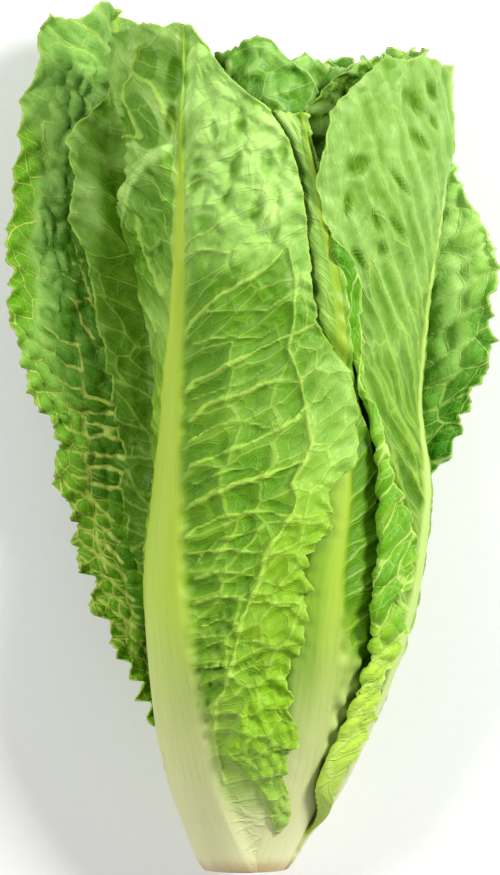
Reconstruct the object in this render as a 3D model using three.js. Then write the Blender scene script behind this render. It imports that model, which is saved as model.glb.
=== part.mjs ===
// Romaine (cos) lettuce head, whole and trimmed, lying on its back: a short stem with its cut end
// towards -Y, and its leaves wrapped round it with their tips towards +Y. Millimetres, +Z up.
// The origin is on the table, under the middle of the head. "Height" runs up the head from the cut.
import * as THREE from "three";

// The head as a whole
const HEAD_LENGTH = 290;
const STUMP_RADIUS = 14;
const BELLY_RADIUS = 47;
const BELLY_HEIGHT = 105;
const CROWN_SPREAD = 10;
const CROWN_START = 150;
const CROWN_RISE = 120;
const FRONT_TO_SIDE = 0.96;
const PRESSED_EDGE = 3;

// The middle line bends to one side, and droops towards the cut end
const STUMP_OFFSET = -1;
const BELLY_OFFSET = 14;
const CROWN_OFFSET = 7;
const MIDDLE_ABOVE_TABLE = 41;
const STUMP_DROOP = 12;

// The stem inside
const STEM_RADIUS = 9.5;
const STEM_LENGTH = 80;
const STEM_CLEARANCE = 0.5;
const STEM_SIDES = 20;
const STEM_STATIONS = [0, 10, 20, 30, 40, 50, 60, 68, 74, 78];

// The leaves
const BLADE = 1.0;
const FOOT_HEIGHT = 7;
const LAYER_STEP = 0.043;
const WRAP_RISE = 48;
const GOLDEN_ANGLE = 137.5;
const FLARE_RISE = 70;
const MARCH_STEP = 2;
const COLUMN_STEP = 11;

// Heights of the cross sections that all the leaves share, close together where the head swells
const STATIONS = [7, 14, 21, 28, 36, 45, 55, 67, 82, 100, 122, 146, 172, 198, 224, 250, 270];

const radians = THREE.MathUtils.degToRad;
const lerp = THREE.MathUtils.lerp;
const ease = (x, from, to) => THREE.MathUtils.smoothstep(x, from, to);

function headRadius(height) {
  return (
    STUMP_RADIUS +
    (BELLY_RADIUS - STUMP_RADIUS) * Math.sin((Math.PI / 2) * Math.min(1, height / BELLY_HEIGHT)) +
    CROWN_SPREAD * ease(height, CROWN_START, CROWN_START + CROWN_RISE)
  );
}

function middleX(height) {
  const belly = lerp(STUMP_OFFSET, BELLY_OFFSET, ease(height, 0, 150));
  return belly - (BELLY_OFFSET - CROWN_OFFSET) * ease(height, 170, HEAD_LENGTH);
}

function middleZ(height) {
  return MIDDLE_ABOVE_TABLE - STUMP_DROOP * (1 - ease(height, 0, 90));
}

function stemRadius(height) {
  return STEM_RADIUS * Math.sqrt(Math.max(0, 1 - height / STEM_LENGTH));
}

// Azimuth 0 faces up, 90 degrees faces +X. The underside is pressed flat by the table.
function envelope(azimuth, height) {
  const across = headRadius(height);
  const round = 1 / Math.hypot(Math.sin(azimuth) / across, Math.cos(azimuth) / (across * FRONT_TO_SIDE));
  const down = -Math.cos(azimuth);
  if (down <= 0) return round;
  const pressed = middleZ(height) / down;
  const bend = Math.max(0, PRESSED_EDGE - Math.abs(round - pressed));
  return Math.min(round, pressed) - (bend * bend) / (4 * PRESSED_EDGE);
}

// Radius of a leaf's outer face: a share of the way from the stem out to the envelope
function layerRadius(leaf, azimuth, height) {
  const wrap = ease(height, leaf.foot, leaf.foot + WRAP_RISE);
  const share = lerp(leaf.footShare, 1 - LAYER_STEP * leaf.layer, wrap);
  const core = stemRadius(height) + STEM_CLEARANCE;
  return core + (envelope(azimuth, height) - core) * share;
}

// A half's width at the foot, where it spreads with the head, at its widest and below the tip
function halfWidth(half, leaf, height) {
  const clasp = (half.foot * headRadius(height)) / headRadius(leaf.foot);
  const swelling = lerp(clasp, half.wide, ease(height, leaf.foot, leaf.widest));
  return lerp(swelling, half.crown, ease(height, leaf.widest, leaf.tip));
}

// A point at a height, an azimuth and a distance from the bent middle line
function headPoint(height, azimuth, radius) {
  return new THREE.Vector3(
    middleX(height) + radius * Math.sin(azimuth),
    height - HEAD_LENGTH / 2,
    middleZ(height) + radius * Math.cos(azimuth),
  );
}

// Walks round the head from the midrib to a distance along the blade. Where the half flares,
// the walk turns away from the head, so the blade stands off as a wing.
function bladePoint(leaf, along, height) {
  const side = Math.sign(along);
  const half = side < 0 ? leaf.left : leaf.right;
  const steps = Math.ceil(Math.abs(along) / MARCH_STEP);
  const step = steps ? Math.abs(along) / steps : 0;
  const turn = radians(half.flare) * ease(height, half.flareAbove, half.flareAbove + FLARE_RISE);
  let azimuth = radians(lerp(leaf.azimuth, leaf.tipAzimuth ?? leaf.azimuth, ease(height, 100, leaf.tip)));
  let lift = 0;
  for (let i = 0; i < steps; i++) {
    const angle = turn * ease((i + 0.5) * step, half.flareFrom, half.flareTo);
    lift += step * Math.sin(angle);
    azimuth += (side * step * Math.cos(angle)) / (layerRadius(leaf, azimuth, height) + lift);
  }
  return headPoint(height, azimuth, layerRadius(leaf, azimuth, height) + lift);
}

// Point of the blade for a share across (-1 to 1) and a cross section. Above the shoulder the
// outline closes like the top of an oval.
function outlinePoint(leaf, across, height) {
  const half = across < 0 ? leaf.left : leaf.right;
  const shoulder = leaf.tip - leaf.round;
  if (height <= shoulder) return [across * halfWidth(half, leaf, height), height];
  const rise = (height - shoulder) / leaf.round;
  const width = halfWidth(half, leaf, shoulder) * Math.sqrt(1 - (rise * rise) / 2);
  return [across * width, shoulder + leaf.round * rise * Math.sqrt(1 - (across * across) / 2)];
}

// Shares across one half: the rib's edge, then even steps out to the margin
function columnsOf(half, rib) {
  const steps = Math.max(3, Math.ceil((half.wide - rib) / COLUMN_STEP));
  const edge = rib / half.wide;
  return Array.from({ length: steps + 1 }, (_, i) => lerp(edge, 1, i / steps));
}

// A closed shell: an outer grid, an inner grid and a rim that joins them
function leafGeometry(leaf) {
  const leftColumns = columnsOf(leaf.left, leaf.rib).map((share) => -share);
  const columns = [...leftColumns.reverse(), 0, ...columnsOf(leaf.right, leaf.rib)];
  const rows = [leaf.foot, ...STATIONS.filter((y) => y > leaf.foot + 3 && y < leaf.tip - 5), leaf.tip];
  const outer = [];
  const inner = [];
  for (const height of rows) {
    const footing = 1 - ease(height, leaf.foot, leaf.foot + FOOT_HEIGHT);
    for (const across of columns) {
      const [along, y] = outlinePoint(leaf, across, height);
      const point = bladePoint(leaf, along, y);
      const sideways = bladePoint(leaf, along + 0.5, y).sub(bladePoint(leaf, along - 0.5, y));
      const upwards = bladePoint(leaf, along, y + 0.5).sub(bladePoint(leaf, along, y - 0.5));
      const normal = sideways.cross(upwards).normalize();
      const ridge = across === 0 ? leaf.ridge * (1 - 0.8 * ease(y, leaf.foot, leaf.tip)) : 0;
      const footDepth = layerRadius(leaf, radians(leaf.azimuth), y) - stemRadius(y) - STEM_CLEARANCE;
      const depth = lerp(BLADE, Math.max(BLADE, footDepth), footing);
      const outside = point.clone().addScaledVector(normal, ridge);
      const inside = point.clone().addScaledVector(normal, -depth);
      if (height === leaf.foot) outside.y = inside.y = point.y;
      outside.z = Math.max(outside.z, 0);
      inside.z = Math.max(inside.z, BLADE);
      outer.push(outside);
      inner.push(inside);
    }
  }
  return shellGeometry(outer, inner, rows.length, columns.length);
}

function shellGeometry(outer, inner, rows, columns) {
  const count = outer.length;
  const triangles = [];
  const quad = (a, b, c, d) => triangles.push(a, b, c, a, c, d);
  for (let r = 0; r < rows - 1; r++) {
    for (let c = 0; c < columns - 1; c++) {
      const a = r * columns + c;
      quad(a, a + 1, a + columns + 1, a + columns);
      quad(count + a, count + a + columns, count + a + columns + 1, count + a + 1);
    }
    const left = r * columns;
    const right = left + columns - 1;
    quad(left, left + columns, count + left + columns, count + left);
    quad(right + columns, right, count + right, count + right + columns);
  }
  for (let c = 0; c < columns - 1; c++) {
    const top = (rows - 1) * columns + c;
    quad(c + 1, c, count + c, count + c + 1);
    quad(top, top + 1, count + top + 1, count + top);
  }
  return geometryOf([...outer, ...inner], triangles);
}

function geometryOf(points, triangles) {
  const geometry = new THREE.BufferGeometry().setFromPoints(points);
  geometry.setIndex(triangles);
  geometry.computeVertexNormals();
  return geometry;
}

// The stem: rings along the bent middle line, a flat cut end and a blunt growing point
function stemGeometry() {
  const points = [];
  for (const height of STEM_STATIONS) {
    for (let i = 0; i < STEM_SIDES; i++) {
      points.push(headPoint(height, (i / STEM_SIDES) * 2 * Math.PI, stemRadius(height)));
    }
  }
  const bottom = points.push(headPoint(0, 0, 0)) - 1;
  const tip = points.push(headPoint(STEM_LENGTH, 0, 0)) - 1;
  const last = (STEM_STATIONS.length - 1) * STEM_SIDES;
  const triangles = [];
  for (let i = 0; i < STEM_SIDES; i++) {
    const next = (i + 1) % STEM_SIDES;
    for (let low = 0; low < last; low += STEM_SIDES) {
      const high = low + STEM_SIDES;
      triangles.push(low + i, low + next, high + next, low + i, high + next, high + i);
    }
    triangles.push(bottom, next, i, tip, last + i, last + next);
  }
  return geometryOf(points, triangles);
}

// A half that doesn't flare hugs the head all the way to its margin
const HUGGING = { flare: 0, flareFrom: 0, flareTo: 1, flareAbove: 0 };

// The outer leaves, from the outermost in. Azimuths in degrees, widths along the blade.
const OUTER_LEAVES = [
  {
    name: "left_outer_leaf",
    azimuth: -135,
    tipAzimuth: -112,
    layer: 0,
    footShare: 1,
    foot: 0,
    tip: 290,
    widest: 190,
    round: 38,
    left: { foot: 8, wide: 52, crown: 40 },
    right: { foot: 6, wide: 58, crown: 54, flare: 76, flareFrom: 8, flareTo: 30, flareAbove: 25 },
  },
  {
    name: "front_leaf",
    azimuth: -80,
    tipAzimuth: -34,
    layer: 1,
    footShare: 1,
    foot: 0,
    tip: 284,
    widest: 140,
    round: 55,
    left: { foot: 4.5, wide: 17, crown: 38 },
    right: { foot: 20, wide: 88, crown: 36 },
  },
  {
    name: "back_right_leaf",
    azimuth: 140,
    tipAzimuth: 124,
    layer: 1,
    footShare: 1,
    foot: 0,
    tip: 262,
    widest: 180,
    round: 60,
    left: { foot: 6, wide: 45, crown: 44, flare: 72, flareFrom: 10, flareTo: 32, flareAbove: 25 },
    right: { foot: 8, wide: 42, crown: 36 },
  },
  {
    name: "centre_right_leaf",
    azimuth: 30,
    tipAzimuth: 8,
    layer: 2.3,
    footShare: 0.8,
    foot: 0,
    tip: 254,
    widest: 140,
    round: 45,
    left: { foot: 5, wide: 50, crown: 36 },
    right: { foot: 3.2, wide: 16, crown: 12 },
  },
  {
    name: "left_middle_leaf",
    azimuth: -79,
    tipAzimuth: -58,
    layer: 3.4,
    footShare: 0.55,
    foot: 14,
    tip: 258,
    widest: 190,
    round: 50,
    left: { foot: 5, wide: 44, crown: 38, flare: 102, flareFrom: 10, flareTo: 26, flareAbove: 50 },
    right: { foot: 5, wide: 40, crown: 30 },
  },
  {
    name: "right_leaf",
    azimuth: 88,
    tipAzimuth: 80,
    layer: 3.3,
    footShare: 0.93,
    foot: 0,
    tip: 273,
    widest: 190,
    round: 55,
    left: { foot: 5.2, wide: 64, crown: 54 },
    right: { foot: 4.5, wide: 30, crown: 26 },
  },
  {
    name: "back_leaf",
    azimuth: 178,
    layer: 4.4,
    footShare: 0.55,
    foot: 14,
    tip: 268,
    widest: 150,
    round: 60,
    left: { foot: 5, wide: 52, crown: 46 },
    right: { foot: 5, wide: 52, crown: 46 },
  },
  {
    name: "inner_right_leaf",
    azimuth: 58,
    tipAzimuth: 50,
    layer: 5.4,
    footShare: 0.55,
    foot: 14,
    tip: 268,
    widest: 150,
    round: 55,
    left: { foot: 5, wide: 48, crown: 40 },
    right: { foot: 5, wide: 50, crown: 40 },
  },
].map((leaf) => ({
  ...leaf,
  left: { ...HUGGING, ...leaf.left },
  right: { ...HUGGING, ...leaf.right },
  rib: 5,
  ridge: leaf.footShare > 0.9 ? 2 : 0.4,
}));

// The inner leaves follow each other at the golden angle, each a layer further in, shorter and
// rooted higher. They come in three whorls.
const WHORLS = [
  { name: "inner_leaf", foot: 28, footShare: 0.36, footWidth: 4, tip: 277, shorter: 3, wide: 44 },
  { name: "heart_leaf", foot: 40, footShare: 0.22, footWidth: 3.6, tip: 255, shorter: 12, wide: 33 },
  { name: "core_leaf", foot: 52, footShare: 0.12, footWidth: 2.6, tip: 190, shorter: 13, wide: 18 },
];
const WHORL_COUNT = 5;
const FIRST_INNER_AZIMUTH = -20;
const FIRST_INNER_LAYER = 6.4;

function innerLeaves() {
  const leaves = [];
  for (const whorl of WHORLS) {
    for (let i = 0; i < WHORL_COUNT; i++) {
      const wide = whorl.wide * (1 - 0.06 * i);
      const half = { ...HUGGING, foot: whorl.footWidth, wide, crown: wide * 0.8 };
      leaves.push({
        name: `${whorl.name}_${i + 1}`,
        azimuth: FIRST_INNER_AZIMUTH + GOLDEN_ANGLE * leaves.length,
        layer: FIRST_INNER_LAYER + leaves.length,
        footShare: whorl.footShare,
        foot: whorl.foot,
        tip: whorl.tip - whorl.shorter * i,
        widest: whorl.foot + 0.5 * (whorl.tip - whorl.foot),
        round: wide,
        left: half,
        right: half,
        rib: 3,
        ridge: 0.1,
      });
    }
  }
  return leaves;
}

// Colours from the dark outer leaves to the pale heart
const OUTER_GREEN = new THREE.Color(0x4f9a1c);
const HEART_GREEN = new THREE.Color(0xd9e58f);
const CUT_FACE = 0xe1d4a8;

const head = new THREE.Group();
const leaves = [...OUTER_LEAVES, ...innerLeaves()];
const lastLayer = leaves[leaves.length - 1].layer;
for (const leaf of leaves) {
  const color = OUTER_GREEN.clone().lerp(HEART_GREEN, leaf.layer / lastLayer);
  const material = new THREE.MeshStandardMaterial({ color, roughness: 0.55, metalness: 0 });
  const mesh = new THREE.Mesh(leafGeometry(leaf), material);
  mesh.name = leaf.name;
  head.add(mesh);
}
const stem = new THREE.Mesh(
  stemGeometry(),
  new THREE.MeshStandardMaterial({ color: CUT_FACE, roughness: 0.7, metalness: 0 }),
);
stem.name = "stem";
head.add(stem);

// Moves the head so that the origin is under its middle
const box = new THREE.Box3().setFromObject(head);
head.position.set(-(box.min.x + box.max.x) / 2, -(box.min.y + box.max.y) / 2, -box.min.z);

export default head;
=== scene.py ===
import math

import bpy
import numpy as np
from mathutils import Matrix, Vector


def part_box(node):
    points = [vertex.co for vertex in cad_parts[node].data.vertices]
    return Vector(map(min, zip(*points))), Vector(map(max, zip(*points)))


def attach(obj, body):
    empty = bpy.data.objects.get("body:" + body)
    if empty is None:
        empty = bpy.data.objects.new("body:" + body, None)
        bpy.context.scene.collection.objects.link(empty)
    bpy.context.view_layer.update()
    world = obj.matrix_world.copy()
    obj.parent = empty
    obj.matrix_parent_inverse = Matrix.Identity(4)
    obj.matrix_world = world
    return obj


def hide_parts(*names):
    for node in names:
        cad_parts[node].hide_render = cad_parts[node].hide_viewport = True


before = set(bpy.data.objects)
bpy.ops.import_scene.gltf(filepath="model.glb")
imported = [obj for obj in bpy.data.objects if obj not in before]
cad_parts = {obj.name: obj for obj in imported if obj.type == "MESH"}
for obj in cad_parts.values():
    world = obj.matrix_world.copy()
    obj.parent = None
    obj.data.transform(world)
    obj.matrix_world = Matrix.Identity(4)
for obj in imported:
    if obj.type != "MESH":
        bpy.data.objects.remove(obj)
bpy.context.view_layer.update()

# ---- Stem ------------------------------------------------------------------
# The short core that every leaf grows from: watery, cream-coloured tissue,
# sliced across at the harvest, so its end is flat, ringed and browned by air.

MM = 0.001
STEM_RADIUS = 11
STEM_LENGTH = 60
RING_SPAN = 13.5
cut_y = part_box("stem")[0].y
stem_x = (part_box("stem")[0].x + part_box("stem")[1].x) / 2
stem_z = (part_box("stem")[0].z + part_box("stem")[1].z) / 2


def paint(red, green, blue):
    """A colour given as 0 to 255 on a screen, turned to the shader's scale."""
    return tuple((c / 255) ** 2.2 for c in (red, green, blue)) + (1.0,)


def add_node(tree, kind, inputs=(), **settings):
    """Adds a node to a tree. Its inputs are values or other nodes' outputs."""
    node = tree.nodes.new(kind)
    for key, value in settings.items():
        setattr(node, key, value)
    for key, value in dict(inputs).items():
        if isinstance(value, bpy.types.NodeSocket):
            tree.links.new(value, node.inputs[key])
        else:
            node.inputs[key].default_value = value
    return node


def new_material(name):
    """An empty material: its shader and its output, joined."""
    material = bpy.data.materials.new(name)
    material.use_nodes = True
    tree = material.node_tree
    tree.nodes.clear()
    shader = add_node(tree, "ShaderNodeBsdfPrincipled")
    add_node(tree, "ShaderNodeOutputMaterial", {"Surface": shader.outputs["BSDF"]})
    return material, tree, shader


def cover(tree, shader, colour, roughness, height, relief, depth):
    """Gives a shader its colour, its roughness and a relief of that depth."""
    values = {"Height": height, "Strength": relief, "Distance": depth * MM}
    bump = add_node(tree, "ShaderNodeBump", values)
    tree.links.new(colour, shader.inputs["Base Color"])
    tree.links.new(roughness, shader.inputs["Roughness"])
    tree.links.new(bump.outputs["Normal"], shader.inputs["Normal"])


def finish_piece(piece, node):
    """Hides the plain solid that the piece stands for and fixes it in place."""
    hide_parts(node)
    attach(piece, "root")


bpy.ops.object.select_all(action="DESELECT")
bpy.ops.mesh.primitive_cylinder_add(
    vertices=72,
    radius=STEM_RADIUS * MM,
    depth=STEM_LENGTH * MM,
    end_fill_type="NGON",
    rotation=(math.pi / 2, 0, 0),
    location=(stem_x, cut_y + (STEM_LENGTH / 2 + 1) * MM, stem_z),
)
stem = bpy.context.object
stem.name = "cut_stem"
bpy.ops.object.transform_apply(location=True, rotation=True, scale=True)
bpy.ops.object.mode_set(mode="EDIT")
bpy.ops.mesh.select_all(action="DESELECT")
bpy.ops.mesh.select_mode(type="FACE")
bpy.ops.object.mode_set(mode="OBJECT")
for face in stem.data.polygons:
    face.select = face.normal.y < -0.9
bpy.ops.object.mode_set(mode="EDIT")
for ring in (0.6, 1.2, 2.2, 2.6, 1.6):
    bpy.ops.mesh.inset(thickness=ring * MM, depth=-0.12 * MM)
bpy.ops.mesh.poke()
bpy.ops.object.mode_set(mode="OBJECT")
stem_material, tree, shader = new_material("stem_tissue")
tissue = add_node(tree, "ShaderNodeTexCoord").outputs["Object"]
speckle = add_node(
    tree, "ShaderNodeTexNoise", {"Vector": tissue, "Scale": 420, "Detail": 5}
).outputs["Fac"]
from_middle = add_node(
    tree, "ShaderNodeVectorMath", {0: tissue, 1: (stem_x, cut_y, stem_z)}, operation="SUBTRACT"
).outputs["Vector"]
across_end = add_node(
    tree, "ShaderNodeVectorMath", {0: from_middle, 1: (1 / MM, 0, 1 / MM)}, operation="MULTIPLY"
).outputs["Vector"]
radius = add_node(tree, "ShaderNodeVectorMath", {0: across_end}, operation="LENGTH").outputs["Value"]
uneven = add_node(
    tree, "ShaderNodeMath", {0: speckle, 1: 3.0, 2: radius}, operation="MULTIPLY_ADD"
).outputs["Value"]
ring_place = add_node(
    tree, "ShaderNodeMath", {0: uneven, 1: 1 / RING_SPAN}, operation="MULTIPLY"
).outputs["Value"]
rings = add_node(tree, "ShaderNodeValToRGB", {"Fac": ring_place})
rings.color_ramp.elements[0].color = paint(236, 226, 190)
rings.color_ramp.elements[1].color = paint(188, 142, 96)
for position, colour in (
    (0.3, (228, 212, 170)),
    (0.42, (214, 190, 142)),
    (0.5, (230, 214, 172)),
    (0.72, (222, 198, 152)),
    (0.86, (204, 168, 120)),
):
    rings.color_ramp.elements.new(position).color = paint(*colour)
dull = add_node(tree, "ShaderNodeMapRange", {"Value": speckle, "To Min": 0.42, "To Max": 0.62})
cover(tree, shader, rings.outputs["Color"], dull.outputs["Result"], speckle, 0.5, 0.4)
stem.data.materials.append(stem_material)
finish_piece(stem, "stem")

# ---- Leaves of the core ----------------------------------------------------
# The smallest leaves, pale and tightly wrapped round the tip of the stem.
# Each is a thin blade with a thick rib, grown from a flat sheet that is bent
# round the head, quilted between its veins and given its own thickness.

HEAD_LENGTH = 290
MIDDLE_SHIFT = stem_x / MM + 1
MIDDLE_HEIGHT = 41
LAYER_STEP = 0.043
CORE_RADIUS = 9.5
CORE_LENGTH = 80
WALK_LENGTH = 130
CELLS = 128

lattice = np.random.default_rng(20).random((CELLS, CELLS))


def smooth(value, low, high):
    """Rises gently from 0 at low to 1 at high."""
    share = np.clip((value - low) / (high - low), 0, 1)
    return share * share * (3 - 2 * share)


def band(value, low, high, end, gone):
    """Rises from 0 at low to 1 at high, and falls from end to 0 at gone."""
    return smooth(value, low, high) * (1 - smooth(value, end, gone))


def mix(first, second, share):
    """The first value, turned to the second one by a share."""
    return first + (second - first) * share


def drift(x, y):
    """Smooth random rise and fall between -1 and 1, about one bump per unit."""
    x, y = np.asarray(x, float) + 40, np.asarray(y, float) + 40
    column, row = np.floor(x).astype(int), np.floor(y).astype(int)
    u, v = smooth(x - column, 0, 1), smooth(y - row, 0, 1)
    near, far = column % CELLS, (column + 1) % CELLS
    below, above = row % CELLS, (row + 1) % CELLS
    low = mix(lattice[near, below], lattice[far, below], u)
    high = mix(lattice[near, above], lattice[far, above], u)
    return 2 * mix(low, high, v) - 1


def pillows(x, y):
    """Uneven round cells, about one per unit: 1 in the middle, 0 in the crease."""
    x, y = x + 60 + 0.45 * drift(x, y + 5), y + 60 + 0.45 * drift(x + 9, y)
    column, row = np.floor(x).astype(int), np.floor(y).astype(int)
    first = np.full(len(x), 9.0)
    second = first.copy()
    for i in range(9):
        a, b = column + i % 3 - 1, row + i // 3 - 1
        point_x = a + lattice[a % CELLS, b % CELLS]
        point_y = b + lattice[(b + 31) % CELLS, a % CELLS]
        away = np.hypot(point_x - x, point_y - y)
        second = np.minimum(second, np.maximum(first, away))
        first = np.minimum(first, away)
    return np.minimum(1, 1.7 * (second - first)) ** 0.6


def head_radius(h):
    belly = 14 + 33 * np.sin(math.pi / 2 * np.clip(h / 105, 0, 1))
    return belly + 10 * smooth(h, 150, 270)


def middle_x(h):
    return mix(-1, 14, smooth(h, 0, 150)) - 7 * smooth(h, 170, 290) + MIDDLE_SHIFT


def middle_z(h):
    return MIDDLE_HEIGHT - 12 * (1 - smooth(h, 0, 90))


def envelope(azimuth, h):
    """Distance from the head's middle line to its skin, pressed flat below."""
    across = head_radius(h)
    round_skin = 1 / np.hypot(np.sin(azimuth) / across, np.cos(azimuth) / (0.96 * across))
    down = np.maximum(-np.cos(azimuth), 1e-3)
    pressed = middle_z(h) / down
    bend = np.maximum(0, 3 - np.abs(round_skin - pressed))
    flat = np.minimum(round_skin, pressed) - bend * bend / 12
    return np.where(np.cos(azimuth) < 0, flat, round_skin)


def layer_radius(azimuth, h, layer, foot_share, foot):
    """Distance from the middle line to a leaf that lies in that layer."""
    wrap = smooth(h, foot, foot + 48)
    share = mix(foot_share, 1 - LAYER_STEP * layer, wrap)
    core = CORE_RADIUS * np.sqrt(np.clip(1 - h / CORE_LENGTH, 0, 1)) + 0.5
    tucked_in = 1.7 * (1 - smooth(h, -2, 5)) * (foot == 0)
    return core + (envelope(azimuth, h) - core) * share - tucked_in


def read_line(points, place):
    """Reads a list of (place, value) at each place, straight between them."""
    return np.interp(place, *zip(*points))


def rounded(line, width, fit):
    """A row of values with its corners rounded off over that many of them."""
    window = np.hanning(width)
    return np.convolve(line, window / window.sum(), fit)


def follow(points, h):
    """Reads a list of (height, value) at each height, with rounded corners.
    A plain number is the same at every height."""
    if not isinstance(points, tuple):
        return np.full(np.shape(h), float(points))
    fine = np.arange(-30, HEAD_LENGTH + 40, 1.0)
    return np.interp(h, fine, rounded(read_line(points, fine), 9, "same"))


def walk_round(rib_path, stand_off, layer_place, side, half, heights, fold=None):
    """Goes from the midrib out round the head in steps of 1 mm, at each height,
    and turns outward where the half flares or its margin is rolled."""
    azimuth = np.radians(follow(rib_path, heights))
    lift = follow(stand_off, heights)
    turn, start, end, above = half.get("flare", (0, 8, 30, 25))
    flare = math.radians(turn) * smooth(heights, above, above + 70)
    path = []
    for distance in range(WALK_LENGTH):
        radius = layer_radius(azimuth, heights, *layer_place) + lift
        across, up = radius * np.sin(azimuth), radius * np.cos(azimuth)
        path.append((middle_x(heights) + across, heights, middle_z(heights) + up))
        angle = flare * smooth(distance, start, end)
        if fold is not None:
            roll = np.radians(follow(half["roll"], heights))
            angle = mix(angle, roll, smooth(distance, fold - 2.5, fold + 2.5))
        lift = lift + np.sin(angle)
        azimuth = azimuth + side * np.cos(angle) / radius
    return np.moveaxis(np.array(path), 1, 2)


def half_width(half, side, path, heights):
    """How far the half's margin is from the midrib at each height: its width,
    or the first place where the walk passes the reach seen from above."""
    if "reach" not in half:
        return follow(half["width"], heights)
    side = half.get("reach_side", side)
    target = follow(half["reach"], heights) + MIDDLE_SHIFT
    toward = side * path[:, :, 0]
    passed = toward >= side * target
    passed[:3] = False
    first = np.where(passed.any(0), passed.argmax(0), toward.argmax(0))
    before = np.maximum(first - 1, 0)
    rows = np.arange(len(heights))
    gap = path[first, rows, 0] - path[before, rows, 0]
    gap = np.where(np.abs(gap) < 1e-6, 1e-6, gap)
    part = np.clip((target - path[before, rows, 0]) / gap, 0, 1)
    width = rounded(np.pad(before + part, 3, mode="edge"), 7, "valid")
    if "foot_width" in half:
        width = mix(follow(half["foot_width"], heights), width, smooth(heights, *half["foot_blend"]))
    return width


def on_veins(x, h, veins):
    """How much each point lies on one of the veins, from 0 to 1. A vein is its
    width where it starts, its width where it ends, and its course."""
    shown = np.zeros(len(x))
    x, h = x + 0.35 * drift(x / 3, h / 3), h + 0.35 * drift(x / 3 + 9, h / 3)
    for root, end, course in veins:
        for step, ((x0, h0), (x1, h1)) in enumerate(zip(course, course[1:])):
            run_x, run_h = x1 - x0, h1 - h0
            part = np.clip(((x - x0) * run_x + (h - h0) * run_h) / (run_x**2 + run_h**2), 0, 1)
            away = np.hypot(x - x0 - part * run_x, h - h0 - part * run_h)
            width = mix(root, end, (step + part) / (len(course) - 1))
            line = np.exp(-((away / (0.42 + 0.5 * width)) ** 2))
            shown = np.maximum(shown, line * np.minimum(1, width + 0.35))
    return shown


def hollows(x, h, places):
    """How deep each point lies in one of the hollows, from 0 to 1. A hollow is
    its middle, its half length, its half width and its lean in degrees."""
    deep = np.zeros(len(x))
    for x0, h0, long, wide, lean in places:
        lean = math.radians(lean)
        length = (h - h0) * math.cos(lean) + (x - x0) * math.sin(lean)
        width = (x - x0) * math.cos(lean) - (h - h0) * math.sin(lean)
        deep = np.maximum(deep, np.exp(-(((length / long) ** 2 + (width / wide) ** 2) ** 2.2)))
    return deep


def at_place(path, heights, distance, h):
    """The point of a walked half at each distance and height."""
    d = np.clip(distance, 0, len(path) - 1.001)
    row = np.clip((h - heights[0]) / (heights[1] - heights[0]), 0, len(heights) - 1.001)
    i, j = d.astype(int), row.astype(int)
    u, v = (d - i)[:, None], (row - j)[:, None]
    near = mix(path[i, j], path[i + 1, j], u)
    far = mix(path[i, j + 1], path[i + 1, j + 1], u)
    return mix(near, far, v)


def read_vectors(items, label):
    """One vector for each vertex, such as its place or its normal."""
    values = np.empty(len(items) * 3)
    items.foreach_get(label, values)
    return values.reshape(-1, 3)


def write_points(mesh, points):
    mesh.vertices.foreach_set("co", points.ravel())
    mesh.update()


# The quilting: the cells between the veins are pressed in from outside, by the
# depth that the sheet's "quilt" says, in large and small cells laid along "net".
quilting = bpy.data.node_groups.new("quilting", "GeometryNodeTree")
for way in ("INPUT", "OUTPUT"):
    quilting.interface.new_socket("Geometry", in_out=way, socket_type="NodeSocketGeometry")
sheet = add_node(quilting, "NodeGroupInput").outputs["Geometry"]
net, depth = (
    add_node(
        quilting, "GeometryNodeInputNamedAttribute", {"Name": label}, data_type=kind
    ).outputs["Attribute"]
    for label, kind in (("net", "FLOAT_VECTOR"), ("quilt", "FLOAT"))
)
pressed = []
for scale, reach, share in ((1.1, 0.42, 1.0), (2.7, 0.4, 0.35)):
    cells = add_node(
        quilting,
        "ShaderNodeTexVoronoi",
        {"Vector": net, "Scale": scale, "Randomness": 0.8},
        voronoi_dimensions="2D",
        feature="DISTANCE_TO_EDGE",
    ).outputs["Distance"]
    levels = {"Value": cells, "From Max": reach, "To Min": 0.45 * share, "To Max": -0.55 * share}
    hollow = add_node(quilting, "ShaderNodeMapRange", levels, interpolation_type="SMOOTHSTEP")
    pressed.append(hollow.outputs["Result"])
both = add_node(quilting, "ShaderNodeMath", dict(enumerate(pressed)), operation="ADD").outputs[0]
amount = add_node(quilting, "ShaderNodeMath", {0: both, 1: depth}, operation="MULTIPLY").outputs[0]
facing = add_node(quilting, "GeometryNodeInputNormal").outputs["Normal"]
push = add_node(quilting, "ShaderNodeVectorMath", {0: facing, "Scale": amount}, operation="SCALE")
moves = {"Geometry": sheet, "Offset": push.outputs["Vector"]}
moved = add_node(quilting, "GeometryNodeSetPosition", moves).outputs["Geometry"]
add_node(quilting, "NodeGroupOutput", {"Geometry": moved})

# Millimetres, except the last one: how finely the thickness is told apart.
ROW_STEP = 2.0
TABLE_GAP = 0.2
VEIN_LENGTH = 40
RUFFLE_LENGTH = 9
RUFFLE_WIDTH = 10
RIB_LIMIT = 8
BLADE_THICKNESS = 0.55
THICKNESS_STEPS = 40


def keep(mesh, label, values):
    """Stores one value or vector for each vertex, by a name that the materials read."""
    kind, key = ("FLOAT", "value") if values.ndim == 1 else ("FLOAT_VECTOR", "vector")
    stored = mesh.attributes.new(label, kind, "POINT")
    stored.data.foreach_set(key, np.asarray(values, np.float32).ravel())


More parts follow.
